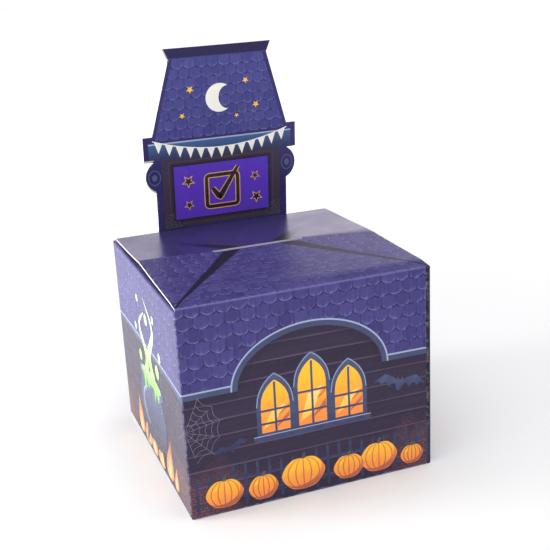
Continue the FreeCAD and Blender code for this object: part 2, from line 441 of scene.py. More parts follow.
def thicken(piece, thickness, rim=0, back=0):
    # board thickness, grown inwards from the printed face, with sharp cut edges
    solid = piece.modifiers.new("board", "SOLIDIFY")
    solid.thickness = thickness
    solid.offset = -1
    solid.use_even_offset = True
    solid.material_offset = back
    solid.material_offset_rim = rim
    flat = piece.data
    piece.data = bpy.data.meshes.new_from_object(piece.evaluated_get(bpy.context.evaluated_depsgraph_get()))
    piece.data.set_sharp_from_angle(angle=sharpAngle)
    piece.modifiers.clear()
    bpy.data.meshes.remove(flat)


liner = linerMaterial("whiteLiner", "liner", "linerShade")
# raw cut edges in greyer colours than the liner, as painted shade
rawEdge = linerMaterial("rawEdge", "cut", "cutShade")
print("liner ready")

# walls: the front right corner is the slack one; side boards are thin, which leaves room for the dust flaps
wallShape = inMm(bow=0.9, ripple=0.12, flapCut=3, cutStep=0.05, nearEnd=4, ease=2.2, sideBoard=1.1, lift=0.05,
                 tight=1.6, slack=3.4)
wallGrid = {"across": 60, "up": 50, "corner": 7, "ends": 5}
foldRadius, floorRadius = 1.6 * mm, 0.8 * mm
tight, slack = wallShape["tight"], wallShape["slack"]
sideSpan = (sideBottom + foldRadius, sideTop - foldRadius)
walls = {
    "front": {"out": (0, -1, 0), "along": (1, 0, 0), "round": (tight, slack),
              "span": (wallShape["lift"], boxTop - foldRadius)},
    "rear": {"out": (0, 1, 0), "along": (-1, 0, 0), "round": (tight, tight),
             "span": (foldRadius, boxTop - foldRadius)},
    "left": {"out": (-1, 0, 0), "along": (0, -1, 0), "round": (tight, tight), "span": sideSpan},
    "right": {"out": (1, 0, 0), "along": (0, 1, 0), "round": (slack, tight), "span": sideSpan},
}
for side, wall in walls.items():
    sizes = (halfWidth, halfDepth)
    wall["half"], wall["deep"] = sizes if side in ("front", "rear") else sizes[::-1]
    wall["print"] = wallMaterial(side)


def wallPoint(side, across, height, lift=0.0):
    # outer face of a wall: flat to the corner arc, bowed inwards as (1 - a^2) sin(height), with a slow ripple
    wall = walls[side]
    share = np.clip(across / wall["half"], -1, 1)
    rise = np.clip(height / boxTop, 0, 1)
    ripple = wallShape["ripple"] * np.abs(np.sin(5.1 * share + 2.3 * rise))
    bow = (wallShape["bow"] + ripple) * (1 - share**2) * np.sin(np.pi * rise)
    radius = np.where(across > 0, wall["round"][1], wall["round"][0])
    past = np.clip(np.abs(across) - (wall["half"] - radius), 0, radius * np.pi / 4) / radius
    along = np.where(past > 0, np.sign(across) * (wall["half"] - radius + radius * np.sin(past)), across)
    deep = wall["deep"] - bow - radius * (1 - np.cos(past)) + lift
    flat = along[..., None] * np.array(wall["along"]) + deep[..., None] * np.array(wall["out"])
    return flat + height[..., None] * np.array((0, 0, 1))


def wallAcross(side):
    # samples along a wall, close together round the corner arcs and at the ends of the side flaps
    half, (first, last) = walls[side]["half"], walls[side]["round"]
    turn = np.linspace(0, np.pi / 4, wallGrid["corner"])
    flat = np.linspace(first - half, half - last, wallGrid["across"])
    cut = half - wallShape["flapCut"] + np.array((-1, 1)) * wallShape["cutStep"]
    ends = np.linspace(half - wallShape["nearEnd"], half - last, wallGrid["ends"])
    corners = [first - half - first * turn, half - last + last * turn]
    return np.unique(np.concatenate([flat, *corners, cut, -cut, ends, -ends]))


def wallEdges(side, across):
    # lower and upper edge: side walls are full height beyond their flaps, free corners are eased by an arc
    low, high = (np.full_like(across, value) for value in walls[side]["span"])
    fromEnd = walls[side]["half"] - np.abs(across)
    ease = wallShape["ease"]
    eased = ease - np.sqrt(ease**2 - (ease - np.clip(fromEnd, 0, ease)) ** 2)
    if side in ("left", "right"):
        beyond = fromEnd < wallShape["flapCut"]
        return np.where(beyond, sideBottom + eased, low), np.where(beyond, sideTop - eased, high)
    return low + eased * (side == "front"), high


for side, wall in walls.items():
    across, share = np.meshgrid(wallAcross(side), np.linspace(0, 1, wallGrid["up"]))
    low, high = wallEdges(side, across)
    height = low + share * (high - low)
    face = wallPoint(side, across, height)
    panel = addMesh(side + "WallPanel", [face], [wall["print"], liner], wall["out"])
    inner = wallShape["sideBoard"] if side in ("left", "right") else boardThickness
    thicken(panel, inner, int(side == "front"), 1)
    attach(panel, "carton")
    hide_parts(side + "_wall")
print("walls ready")

# lids: distance runs from the fold to the free edge; the front lid bends a little past its fold
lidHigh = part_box("front_lid")[1]
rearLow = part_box("rear_lid")[0]
lidHalf = lidHigh[0]
lidRise = lidHigh[2] - boxTop
slotShape = inMm(half=39, deep=5.0, round=1.5)
seamShape = inMm(skew=9.0, dip=1.0, lift=1.3, warp=0.35)
lidGrid = {"across": 61, "along": 48, "slot": 15}
lids = {
    "front": {"side": -1, "free": lidHigh[1], **inMm(more=0.15, bend=15, bendRise=1.6, inset=0)},
    "rear": {"side": 1, "free": rearLow[1], **inMm(more=-0.25, bend=20, bendRise=0.9, inset=1.5)},
}


def pastSlot(x):
    # 0 up to the right end of the slot, then evenly to 1 at the lid's right edge; -x gives the left side
    return np.clip((x - slotShape["half"]) / (lidHalf - slotShape["half"]), 0, 1)


def lidPoint(name, x, distance):
    # top face of a lid: rises to the bend, then gently to the free edge; up at the left, down at the right
    lid = lids[name]
    full = halfDepth - lid["side"] * lid["free"]
    bend, rise, most = lid["bend"], lid["bendRise"], lidRise + lid["more"]
    slope = (most - rise) / (full - bend)
    places = [foldRadius, bend * 0.25, bend * 0.75, bend, bend * 1.25, full]
    heights = [0, rise * 0.14, rise * 0.76, rise, rise + slope * bend * 0.25, most]
    out = np.clip((distance - foldRadius) / (full - foldRadius), 0, 1)
    warp = seamShape["warp"] * (x / lidHalf) ** 2 * np.sin(np.pi * out)
    tilt = seamShape["lift"] * pastSlot(-x) - seamShape["dip"] * pastSlot(x)
    pastBend = np.clip((distance - bend) / (full - bend), 0, 1)
    z = boxTop + np.interp(distance, places, heights) - warp + tilt * pastBend
    return np.stack([x, lid["side"] * (halfDepth - distance), z], axis=-1)


def freeEdge(name, x):
    # distance from fold to free edge, askew past the slot; the front lid steps back along the slot
    lid = lids[name]
    full = halfDepth - lid["side"] * lid["free"] + lid["side"] * seamShape["skew"] * pastSlot(x)
    if name == "rear":
        return full
    inner = np.clip((slotShape["half"] - np.abs(x)) / slotShape["round"], 0, 1)
    return full - slotShape["deep"] * (1 - (1 - inner) ** 2) ** 0.5


slotEnds = slotShape["half"] - slotShape["round"] * np.linspace(-0.2, 1.2, lidGrid["slot"])
lidColumns = np.concatenate([np.linspace(-lidHalf, lidHalf, lidGrid["across"]), slotEnds, -slotEnds])
seamY = 0.5 * (lidHigh[1] + rearLow[1])
for name, lid in lids.items():
    x, share = np.meshgrid(np.unique(lidColumns), np.linspace(0, 1, lidGrid["along"]))
    distance = foldRadius + share * (freeEdge(name, x) - foldRadius)
    x = np.where(x < 0, x * (1 - lid["inset"] / lidHalf * (1 - share)), x)      # folded a little askew
    materials = [lidMaterial(name + "LidPrint", seamY, name == "front"), liner, rawEdge]
    panel = addMesh(name + "LidPanel", [lidPoint(name, x, distance)], materials, (0, 0, 1))
    thicken(panel, boardThickness, 2, 1)
    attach(panel, name + "_lid")
    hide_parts(name + "_lid")
print("lids ready")


foldGrid = {"along": 41, "round": 9}


def quarterRound(out, up, corner, radius):
    # from the wall round to the flap; a tighter fold has a straight leg at each end
    turn = np.linspace(0, np.pi / 2, foldGrid["round"])[:, None]
    arc = corner - radius * out - radius * up + radius * (np.cos(turn) * out + np.sin(turn) * up)
    if radius < foldRadius:
        return np.concatenate([[corner - foldRadius * up], arc, [corner - foldRadius * out]])
    return arc


# folds: wall, height of the fold, run along it and the body that it joins to the carton
lidSpread = (-lidHalf, lidHalf)
rearSpread = (lids["rear"]["inset"] - lidHalf, lidHalf)
flapSpread = (wallShape["flapCut"] - halfDepth, halfDepth - wallShape["flapCut"])
folds = {
    "frontTopFold": ("front", boxTop, lidSpread, "front_lid"),
    "rearTopFold": ("rear", boxTop, rearSpread, "rear_lid"),
    "rearBottomFold": ("rear", wallShape["lift"], lidSpread, "bottom"),
}
for edge, level in (("Top", sideTop), ("Bottom", sideBottom)):
    for side in ("left", "right"):
        folds[side + edge + "Fold"] = (side, level, flapSpread, f"{edge.lower()}_{side}_flap")
for name, (side, level, spread, body) in folds.items():
    # a quarter-round profile carried along the crease
    atTop = "Top" in name
    out = np.array(walls[side]["out"], float)
    up = np.array((0.0, 0.0, 1.0 if atTop else -1.0))
    corner = out * walls[side]["deep"] + np.array((0.0, 0.0, level))
    path = quarterRound(out, up, corner, foldRadius if atTop else floorRadius)
    run = np.linspace(*spread, foldGrid["along"])[:, None, None]
    sweep = path[None] + run * np.abs(walls[side]["along"])
    skin = addMesh(name, [sweep], [walls[side]["print"], liner], out + up)
    thicken(skin, boardThickness, 0, 1)
    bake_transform(skin)
print("folds ready")

# header card: outline as half widths up the card, before it leans about its crease
cardLow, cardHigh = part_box("header_card")
crease = next(np.array(joint["pos_m"]) for joint in frame["joints"] if joint["name"] == "header_crease")
headerLean = math.radians(-5.4)
headerShift = 0.5 * (cardLow[0] + cardHigh[0])
header = inMm(bow=0.8, bowStart=40, foot=60.7, footLow=0.3, corbelLow=35.8, corbelHigh=64.1, corbelOut=69.3,
              cornice=69.9, corniceHigh=86.2, roofFoot=61.5, roofHigh=150.8, roofTop=43.6, capHigh=160.0,
              capTop=47.4, step=0.06, leftFlare=1.2)
headerGrid = {"across": 49, "foot": 14, "corbel": 17, "cornice": 8, "roof": 25}
corbelMiddle = 0.5 * (header["corbelLow"] + header["corbelHigh"])
corbelTall = 0.5 * (header["corbelHigh"] - header["corbelLow"])
corbelBulge = header["corbelOut"] - header["foot"]
corbelRadius = (corbelTall**2 + corbelBulge**2) / (2 * corbelBulge)


def headerPoint(x, height, lift=0.0):
    # printed face of the card: bowed a little, turned about the crease, beside the middle of the box
    bow = header["bow"] * (1 - (x / header["cornice"]) ** 2) * np.clip(height / header["bowStart"], 0, 1)
    forward = boardThickness + bow + lift
    c, s = math.cos(headerLean), math.sin(headerLean)
    y, z = crease[1] - forward * c + height * s, crease[2] + height * c + forward * s
    return np.stack([x + headerShift, y, z], axis=-1)


def headerProfile():
    # heights and half widths from the foot to the cap; a step is two rows close together, a corbel an arc
    h = header
    turn = np.linspace(-np.pi / 2, np.pi / 2, headerGrid["corbel"])[1:-1]
    arcHeight = corbelMiddle + (corbelTall - h["step"]) * np.sin(turn)
    arcHalf = h["corbelOut"] - corbelRadius + np.sqrt(corbelRadius**2 - (arcHeight - corbelMiddle) ** 2)
    roof = np.linspace(0, 1, headerGrid["roof"])
    roofHeight = h["corniceHigh"] + h["step"] + roof * (h["roofHigh"] - h["corniceHigh"] - h["step"])
    roofHalf = h["roofFoot"] + roof * (h["roofTop"] - h["roofFoot"])
    foot = np.linspace(h["footLow"], h["corbelLow"], headerGrid["foot"])
    cornice = np.linspace(h["corbelHigh"], h["corniceHigh"], headerGrid["cornice"])
    heights = [foot, arcHeight, cornice, roofHeight, [h["capHigh"]]]
    halves = [foot * 0 + h["foot"], arcHalf, cornice * 0 + h["cornice"], roofHalf, [h["capTop"]]]
    return np.concatenate(heights), np.concatenate(halves)


# sign as left, right, low and high; bare is how far the print sits above its place on the cut card
headerPrint = inMm(sign=(-44.2, 43.2, 8.8, 57.5), frame=54.5, frameLow=1.5, beam=(64.8, 80.1), beamHalf=65.4,
                   light=1.3, margin=3.4, roofDip=4, capLine=0.7, bare=1.5)
mouldings = ((4.6, "sidingLine", 0.45), (4.0, "frameDark", 1.0), (2.2, "sidingDark", 0.9))


def headerMaterial():
    # small house front: sign in a dark frame between columns, slate beam, shingled roof and a plain cap
    material, shader, place, x, y, z = startMaterial("headerPrint")
    h, p = header, headerPrint
    x = x - headerShift
    height = (z - float(crease[2])) / math.cos(headerLean)
    mottle = noise(place, 40.0)
    corbels = mottle.over("corbel", "shingleDark")
    shingles = shingleColour(x, h["roofHigh"] - height, place, headerTones, shingle["headerSize"])
    slope = (h["roofFoot"] - h["roofTop"]) / (h["roofHigh"] - h["corniceHigh"])
    edge = (height - h["corniceHigh"]) * -slope + (h["roofFoot"] - p["margin"])
    onRoof = within(height, h["corniceHigh"] - p["roofDip"], h["roofHigh"]) * (abs(x) < edge)
    onCap, cap = height > h["roofHigh"], mottle.over("cap", "shingleDark")
    capLine = within(height, h["roofHigh"], h["roofHigh"] + p["capLine"]) * 0.6
    frameMask = within(height, p["frameLow"], p["beam"][0]) * (abs(x) < p["frame"])
    dark = noise(place, 70.0, (1, 1, 0.3)).over("frameDark", "siding")
    left, right, low, high = p["sign"]
    for beside, tone, most in mouldings:
        # steps in towards the sign
        step = beside * mm
        ring = within(x, left - step, right + step) * within(height, low - step, high + step)
        dark = (ring * most).over(dark, tone)
    signMask = within(x, left, right) * within(height, low, high)
    sign = (noise(place, 25.0) * 0.35).over("sign", "shingle")
    low, high = p["beam"]
    beamMask = within(height, low, high) * (abs(x) < p["beamHalf"])
    beam = layered("beam", (height.smooth(high, low), "trimDark"), (height > high - p["light"], "trimLight"))
    # the print sits high on the cut card, which leaves bare board along the lower left edges, coloured grey
    # as painted shade
    raised = height - p["bare"]
    fromMiddle = raised - corbelMiddle
    arc = (corbelRadius**2 - fromMiddle * fromMiddle).math("MAXIMUM", 0.0).math("SQRT")
    reach = (raised < h["corbelLow"]) * h["foot"] + (raised > h["corbelHigh"]) * h["cornice"]
    reach = reach + within(raised, h["corbelLow"], h["corbelHigh"]) * (arc + (h["corbelOut"] - corbelRadius))
    capSlope = (h["capTop"] - h["roofTop"]) / (h["capHigh"] - h["roofHigh"])
    capReach = (height - h["roofHigh"]) * capSlope + h["roofTop"]
    leftwards = x * -1
    bareCap = (height > h["roofHigh"] - p["bare"]) * (leftwards > capReach)
    bare = (leftwards > reach).math("MAXIMUM", bareCap)
    coats = [(onRoof, shingles), (onCap, cap), (capLine, "shingleLight"), (frameMask, dark), (signMask, sign)]
    finishPrint(shader, place, layered(corbels, *coats, (beamMask, beam), (bare, "bareBoardInShade")))
    return material


heights, halves = headerProfile()
share = np.linspace(-1, 1, headerGrid["across"])[None, :]
flare = header["leftFlare"] * (heights > header["roofHigh"] - 1 * mm)      # the cap is cut wider on the left
across = halves[:, None] * share + flare[:, None] * np.minimum(share, 0)
cardFace = headerPoint(across, heights[:, None] + 0 * across)
cardMaterials = [headerMaterial(), liner]
card = addMesh("headerPanel", [cardFace], cardMaterials, (0, -1, 0))
thicken(card, boardThickness, 1, 1)
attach(card, "header")
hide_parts("header_card")
print("header ready")

# crease under the header: a strip from the tab to the card's foot
creaseShape = inMm(proud=0.04, below=2.2, above=0.4)
creaseY = crease[1] - boardThickness - creaseShape["proud"]
creaseLow, creaseHigh = crease[2] - creaseShape["below"], crease[2] + creaseShape["above"]
run = np.linspace(-1, 1, foldGrid["along"])[:, None] * header["foot"] + headerShift
level = np.linspace(creaseLow, creaseHigh, foldGrid["round"])[None, :]
strip = np.stack(np.broadcast_arrays(run, creaseY, level), axis=-1)
creaseSkin = addMesh("headerCrease", [strip], cardMaterials, (0, -1, 0))
thicken(creaseSkin, boardThickness, 0, 1)
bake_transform(creaseSkin)

# flaps, tabs and tape keep their CAD shape
skim = 0.1 * mm
topFlap = flapMaterial("topFlapPrint", sideTop - skim, True)
lowFlap = flapMaterial("lowFlapPrint", sideBottom + skim, False)
nodeMaterials = {
    "header_tab": liner, "side_glue_tab": liner,
    "top_left_dust_flap": topFlap, "top_right_dust_flap": topFlap,
    "bottom_left_dust_flap": lowFlap, "bottom_right_dust_flap": lowFlap,
    "bottom_panel": flapMaterial("bottomPrint", skim, False),
    "bottom_tuck_flap": flapMaterial("tuckPrint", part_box("bottom_tuck_flap")[0][1] + skim, False, 1),
    "header_tape_strips": tapeMaterial(),
}
for name, material in nodeMaterials.items():
    node = frame["nodes"][name]
    node.data.materials.clear()
    node.data.materials.append(material)

# printed motifs: thin layers of ink on the panels, drawn in mm
# each ink shades from its first colour to its second between two heights, in metres, with a share of mottle
inkLayer, inkGap = 0.03 * mm, 0.01 * mm
motifInks = {
    "slate": ("trimDark", "trim", 0.0, 0.14, 0.6), "pale": ("trimLight", "trim", 0.0, 0.4, 0.3),
    "pane": ("orange", "yellow", 0.055, 0.105, 0.5), "glow": ("yellow", "pane", 0.05, 0.11, 0.6),
    "streak": ("flameTip", "orange", 0.05, 0.11, 0.7), "pumpkin": ("orange", "yellow", 0.006, 0.032, 0.35),
    "pumpkinShade": ("flameTip", "orange", 0.002, 0.03, 0.5), "rib": ("flameTip", "orange", 0.0, 0.05, 0.5),
    "stem": ("stem", "trimDark", 0.02, 0.05, 0.5), "door": ("door", "maroon", 0.0, 0.1, 0.7),
    "bat": ("trimDark", "trim", 0.05, 0.10, 0.8), "web": ("web", "trimLight", 0.0, 0.4, 0.8),
    "iron": ("iron", "trim", 0.0, 0.09, 0.5), "flame": ("flameTip", "flameGold", 0.05, 0.004, 0.5),
    "heart": ("flameGold", "ember", 0.05, 0.01, 0.5), "brew": ("green", "greenPale", 0.05, 0.13, 0.6),
    "foam": ("foam", "greenPale", 0.05, 0.16, 0.5), "bone": ("boneShade", "bone", 0.14, 0.26, 0.9),
    "gold": ("gold", "yellow", 0.15, 0.30, 0.6), "maroon": ("maroon", "frameDark", 0.16, 0.24, 0.6),
    "webDim": ("webDim", "web", 0.1, 0.4, 0.4),
}
motifMaterials = {name: plainPrint(name + "Ink", *row) for name, row in motifInks.items()}


def printMotif(name, where, grids, inkName, layer):
    # flat grids of (across, height) laid on a panel as one piece
    onHeader = where == "header"
    lift = inkLayer * layer + inkGap
    laid = []
    for grid in grids:
        x, height = grid[..., 0] * mm, grid[..., 1] * mm
        laid.append(headerPoint(x, height, lift) if onHeader else wallPoint(where, x, height, lift))
    outward = (0, -1, 0) if onHeader else walls[where]["out"]
    piece = addMesh(name, laid, [motifMaterials[inkName]], outward)
    thicken(piece, inkLayer)
    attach(piece, "header" if onHeader else "carton")


def curve(across, height):
    return np.stack(np.broadcast_arrays(across, height), axis=-1).astype(float)


def arcPath(middle, size, start, end, count):
    # part of an ellipse, its ends in half turns
    turn = np.linspace(start, end, count) * np.pi
    return curve(middle[0] + size[0] * np.cos(turn), middle[1] + size[1] * np.sin(turn))


def between(lower, upper, steps=4):
    # grid filled from one curve to another
    t = np.linspace(0, 1, steps)[:, None, None]
    return lower[None] * (1 - t) + upper[None] * t


def band(across, low, high, steps=4):
    return between(curve(across, low), curve(across, high), steps)


def spindle(middle, half, height):
    # grid of three curves: left side, middle and right side of a shape at each height
    return np.stack([curve(middle + side * half, height) for side in (-1, 0, 1)])


def placed(x, y, centre, turn):
    # points turned about the origin and moved to a centre
    c, s = math.cos(turn), math.sin(turn)
    return np.stack([centre[0] + x * c - y * s, centre[1] + x * s + y * c], axis=-1)


def discGrid(centre, size, outline=None, turn=0.0, count=17):
    # square grid pressed into a disc, then scaled by an outline radius at each angle
    u, v = np.meshgrid(np.linspace(-1, 1, count), np.linspace(-1, 1, count))
    x, y = u * np.sqrt(1 - v**2 / 2), v * np.sqrt(1 - u**2 / 2)
    stretch = 1.0 if outline is None else outline(np.arctan2(y, x))
    return placed(x * stretch * size[0], y * stretch * size[1], centre, turn)


def ribbon(path, width):
    # strip of a width along a path; the width may vary along it
    step = np.gradient(path, axis=0)
    side = np.stack([-step[:, 1], step[:, 0]], axis=-1) / np.linalg.norm(step, axis=1, keepdims=True)
    half = np.broadcast_to(np.asarray(width, float), len(path))[:, None] / 2
    return np.stack([path - side * half, path + side * half], axis=0)


def stroke(across, height, width):
    return ribbon(curve(across, height), width)


def lancet(centre, sill, half, straight):
    # pointed opening: the arch is two arcs struck from the opposite springing points
    s = np.linspace(-1, 1, 33)
    top = sill + straight + np.sqrt(np.maximum((2 * half) ** 2 - (np.abs(s) * half + half) ** 2, 0))
    return band(centre + s * half, sill, top, 9)


archLine = {"wide": 0.7, "inwards": 0.5, "down": 0.3}


def archEdge(centre, sill, half, straight):
    # thin line just inside the edge of a pointed frame
    inner = lancet(centre, sill, half - archLine["inwards"], straight - archLine["down"])
    return ribbon(inner[-1], archLine["wide"])


def starOutline(angle):
    # five points of radius 1, straight sides between point and notch
    notch, wedge = 0.42, np.pi / 5
    a = np.abs((angle / (2 * wedge)) % 1 - 0.5) * 2 * wedge
    return notch * np.sin(wedge) / (notch * np.sin(wedge - a) + np.sin(a))


def webThreads(centre, reach, start, end, spokes, rings, width):
    # spokes from a hub, and rings that sag towards it between the spokes
    strips = []
    for angle in np.linspace(start, end, spokes):
        length = reach * (0.86 + 0.14 * math.sin(7 * angle + 1))
        run = np.linspace(0.02, 1, 12)[:, None] * length
        strips.append(ribbon(np.array(centre) + run * np.array((math.cos(angle), math.sin(angle))), width))
    sweep = np.linspace(start, end, (spokes - 1) * 10 + 1)
    sag = np.abs(np.sin((sweep - start) / (end - start) * (spokes - 1) * np.pi))
    for ring in np.linspace(0.22, 0.88, rings):
        radius = reach * ring * (1 - 0.10 * sag)
        strips.append(ribbon(np.array(centre) + curve(radius * np.cos(sweep), radius * np.sin(sweep)), width))
    return strips


# bat as shares of its half span: upper edge with two ears, lower edge in scallops
batUpper = ((0, 0.05, 0.09, 0.13, 0.30, 0.62, 1), (0.13, 0.15, 0.27, 0.13, 0.24, 0.34, 0.02))
batLower = ((0, 0.08, 0.16, 0.26, 0.40, 0.54, 0.70, 0.84, 1),
            (-0.30, -0.22, -0.03, 0.02, -0.14, 0.06, -0.06, 0.06, 0.0))


def bat(centre, span, turn):
    # wings spread, mirrored left to right
    s = np.linspace(-1, 1, 81)
    upper = np.interp(np.abs(s), *batUpper)
    lower = np.minimum(np.interp(np.abs(s), *batLower), upper - 0.01)
    grid = band(s, lower, upper, 5) * span / 2
    return placed(grid[..., 0], grid[..., 1], centre, turn)


# lit lancet windows on one ledge, which is given as its reach past the frame and its edges under the sill
window = {"sill": 58, "half": 11.5, "frame": 3.6, "bar": 1.7, "ledge": (3, 6.5, 2), "ledgeLine": 2.2,
          "levels": (0.34, 0.82), "streaks": ((0.16, 0.14), (0.52, 0.07))}


def printWindows(side, lights):
    # each light is (middle, straight height): frame, streaked panes and glazing bars
    sill, half, rim, bar = (window[key] for key in ("sill", "half", "frame", "bar"))
    past, under, top = window["ledge"]
    run = np.linspace(0, 1, 9)
    beside = half + rim + past
    ledge = np.linspace(lights[0][0] - beside, lights[-1][0] + beside, 25)
    frames = [band(ledge, sill - under, sill - top)]
    edges = [stroke(ledge, sill - window["ledgeLine"], archLine["wide"])]
    panes, glows, streaks, bars = [], [], [], []
    for x, tall in lights:
        frames.append(lancet(x, sill - rim, half + rim, tall + rim))
        edges.append(archEdge(x, sill - rim, half + rim, tall + rim))
        panes.append(lancet(x, sill, half, tall))
        lowEdge = curve(x + half * 0.9 * (run - 1), sill + 3 + 6 * run)
        glows.append(between(lowEdge, curve(x + half * (run - 0.3), sill + tall * 0.75 + 5 * run), 5))
        for start, thick in window["streaks"]:
            lowEdge = curve(x + half * (0.10 + 0.86 * run), sill + tall * start + 7 * run)
            streaks.append(between(lowEdge, lowEdge + np.array((0, 1)) * tall * thick * (0.4 + run[:, None])))
        bars.append(stroke(x, sill + run * (tall + half * 1.6), bar))
        for level in window["levels"]:
            bars.append(stroke(x + (run * 2 - 1) * half, sill + tall * level, bar))
    printMotif(side + "WindowFrames", side, frames, "slate", 1)
    printMotif(side + "WindowEdges", side, edges, "pale", 2)
    printMotif(side + "WindowPanes", side, panes, "pane", 2)
    printMotif(side + "WindowGlow", side, glows, "glow", 3)
    printMotif(side + "WindowStreaks", side, streaks, "streak", 3)
    printMotif(side + "WindowBars", side, bars, "slate", 4)


printWindows("front", [(-30, 22), (0, 33), (30, 22)])
printWindows("rear", [(-62, 16), (-32, 16)])

# iron fence along the ground, with pumpkins in front of it; uneven and waver are (height, radians per mm)
fence = {"low": 3, "high": 33, "pitch": 9.6, "half": 1.1, "first": 3, "reach": 98, "head": 4.5,
         "uneven": (2.5, 0.09), "rails": (10, 26), "rail": 1.8, "waver": (0.6, 0.06)}


def printFence(side, gate=0.0):
    # pickets with pointed heads of uneven height, and two rails; a gap in the middle leaves room for a door
    s = np.linspace(-1, 1, 9)
    reach, (uneven, often), (waver, slowly) = (fence[key] for key in ("reach", "uneven", "waver"))
    pickets = []
    for x in np.arange(fence["first"] - reach, reach, fence["pitch"]):
        if abs(x) >= gate:
            tip = fence["high"] + uneven * math.sin(x * often) + fence["head"] * (1 - np.abs(s))
            pickets.append(band(x + s * fence["half"], fence["low"], tip, 5))
    for rail in fence["rails"]:
        for first, last in ((-reach, -gate), (gate, reach)):
            x = np.linspace(first, last, 21)
            pickets.append(stroke(x, rail + waver * np.sin(x * slowly), fence["rail"]))
    printMotif(side + "Fence", side, pickets, "slate", 1)


# shares of each pumpkin's half width and height; turns are (first, last, count), in half turns
pumpkin = {"ribs": (-0.72, -0.36, 0.0, 0.36, 0.72), "rib": 0.75, "ribTall": 0.92,
           "ribTurns": (-0.42, 0.42, 15), "shade": 0.30, "edge": (0.97, 0.95), "shadeTurns": (-0.8, 0.2, 31),
           "stem": (3.0, 1.2)}


def pumpkinOutline(angle):
    # round, lobed a little, with a dent under the stem
    return 1 - 0.035 * np.abs(np.sin(3 * angle)) - 0.06 * np.exp(-((angle - np.pi / 2) / 0.25) ** 2)


def printPumpkins(side, patch):
    # each pumpkin is (middle, height, half width, half height)
    ribTurns, shadeTurns, (out, up) = (pumpkin[key] for key in ("ribTurns", "shadeTurns", "edge"))
    ribWide = pumpkin["rib"] * np.cos(np.linspace(*ribTurns) * np.pi) ** 0.5 + 0.1
    thick = pumpkin["shade"] * np.sin(np.linspace(0, np.pi, shadeTurns[2]))
    rise = np.linspace(0, 1, 7)
    foot, taper = pumpkin["stem"]
    rounds, shades, dabs, ribs, stems = [], [], [], [], []
    for x, z, wide, tall in patch:
        rounds.append(discGrid((x, z), (wide, tall), pumpkinOutline))
        edges = [((out - t) * wide, (up - t) * tall) for t in (thick, 0)]
        shades.append(between(*(arcPath((x, z), size, *shadeTurns) for size in edges)))
        dabs.append(discGrid((x - 0.45 * wide, z + 0.42 * tall), (0.20 * wide, 0.10 * tall), None, 0.7, 9))
        for bend in pumpkin["ribs"]:
            size = (bend * wide, pumpkin["ribTall"] * tall)
            ribs.append(ribbon(arcPath((x, z), size, *ribTurns), ribWide))
        stems.append(stroke(x + 1.6 * rise**2, z + tall * (0.86 + 0.38 * rise), foot - taper * rise))
    printMotif(side + "Pumpkins", side, rounds, "pumpkin", 2)
    printMotif(side + "PumpkinShades", side, shades, "pumpkinShade", 3)
    printMotif(side + "PumpkinDabs", side, dabs, "glow", 3)
    printMotif(side + "PumpkinRibs", side, ribs, "rib", 4)
    printMotif(side + "PumpkinStems", side, stems, "stem", 3)


# straps as their length in half widths, width and taper
door = {"foot": 2, "half": 23, "straight": 38, "frame": 4, "planks": 7, "gap": 0.5, "hinges": (17, 47),
        "strap": (1.7, 4.4, 3.2), "ring": ((14, 33), (3.6, 4.2)), "ringLine": 1.2}
printFence("front")
printFence("right", door["half"] + 1.6 * door["frame"])
printFence("rear")
printPumpkins("front", [(-74, 16, 15, 12), (-43, 14, 12, 10.5), (-10, 18, 18, 14), (28, 14.5, 13, 10.5),
                        (54, 17, 16, 13), (83, 12.5, 10, 8.5)])
printPumpkins("right", [(-52, 14, 14, 11), (44, 12, 10, 8.5), (66, 15, 15, 12)])
printPumpkins("rear", [(-70, 15, 15, 12), (36, 13, 11, 9.5), (60, 16, 16, 13)])

# right wall: pointed plank door with strap hinges and a ring
foot, half, straight, rim = (door[key] for key in ("foot", "half", "straight", "frame"))
rise = np.linspace(0, 1, 9)
printMotif("doorFrame", "right", [lancet(0, foot, half + rim, straight + rim)], "slate", 2)
printMotif("doorLeaf", "right", [lancet(0, foot, half, straight)], "door", 3)
gaps = [archEdge(0, foot, half + rim, straight + rim)]
for x in np.linspace(-half, half, door["planks"] + 2)[1:-1]:
    high = straight + math.sqrt((2 * half) ** 2 - (abs(x) + half) ** 2)
    gaps.append(stroke(x, foot + rise * high, door["gap"]))
printMotif("doorPlanks", "right", gaps, "pale", 4)
straps = [ribbon(arcPath(*door["ring"], 0, 2, 33), door["ringLine"])]
long, wide, taper = door["strap"]
straps += [stroke((rise * long - 1) * half, level, wide - taper * rise) for level in door["hinges"]]
printMotif("doorStraps", "right", straps, "slate", 5)

# webs: hub, reach, first and last angle, spokes, rings and width of a thread
webHigh = (boxTop - 0.47 * boxWidth) / mm
webs = {
    "front": ((0.8 - halfWidth / mm, webHigh), 31, -1.3, 1.15, 6, 5, 0.26),
    "left": ((halfDepth / mm - 0.8, webHigh), 27, math.pi - 1.1, math.pi + 1.2, 5, 5, 0.3),
    "headerLeft": ((-54, 2), 16, 0.05, 1.5, 4, 4, 0.3),
    "headerRight": ((54, 2), 16, math.pi - 1.5, math.pi - 0.05, 4, 4, 0.3),
}

# front wall: bats, and a web in the left corner
printMotif("frontBats", "front", [bat((73, 76), 44, -0.2), bat((-66, 52), 28, 0.25)], "bat", 1)
printMotif("frontWeb", "front", webThreads(*webs["front"]), "web", 1)

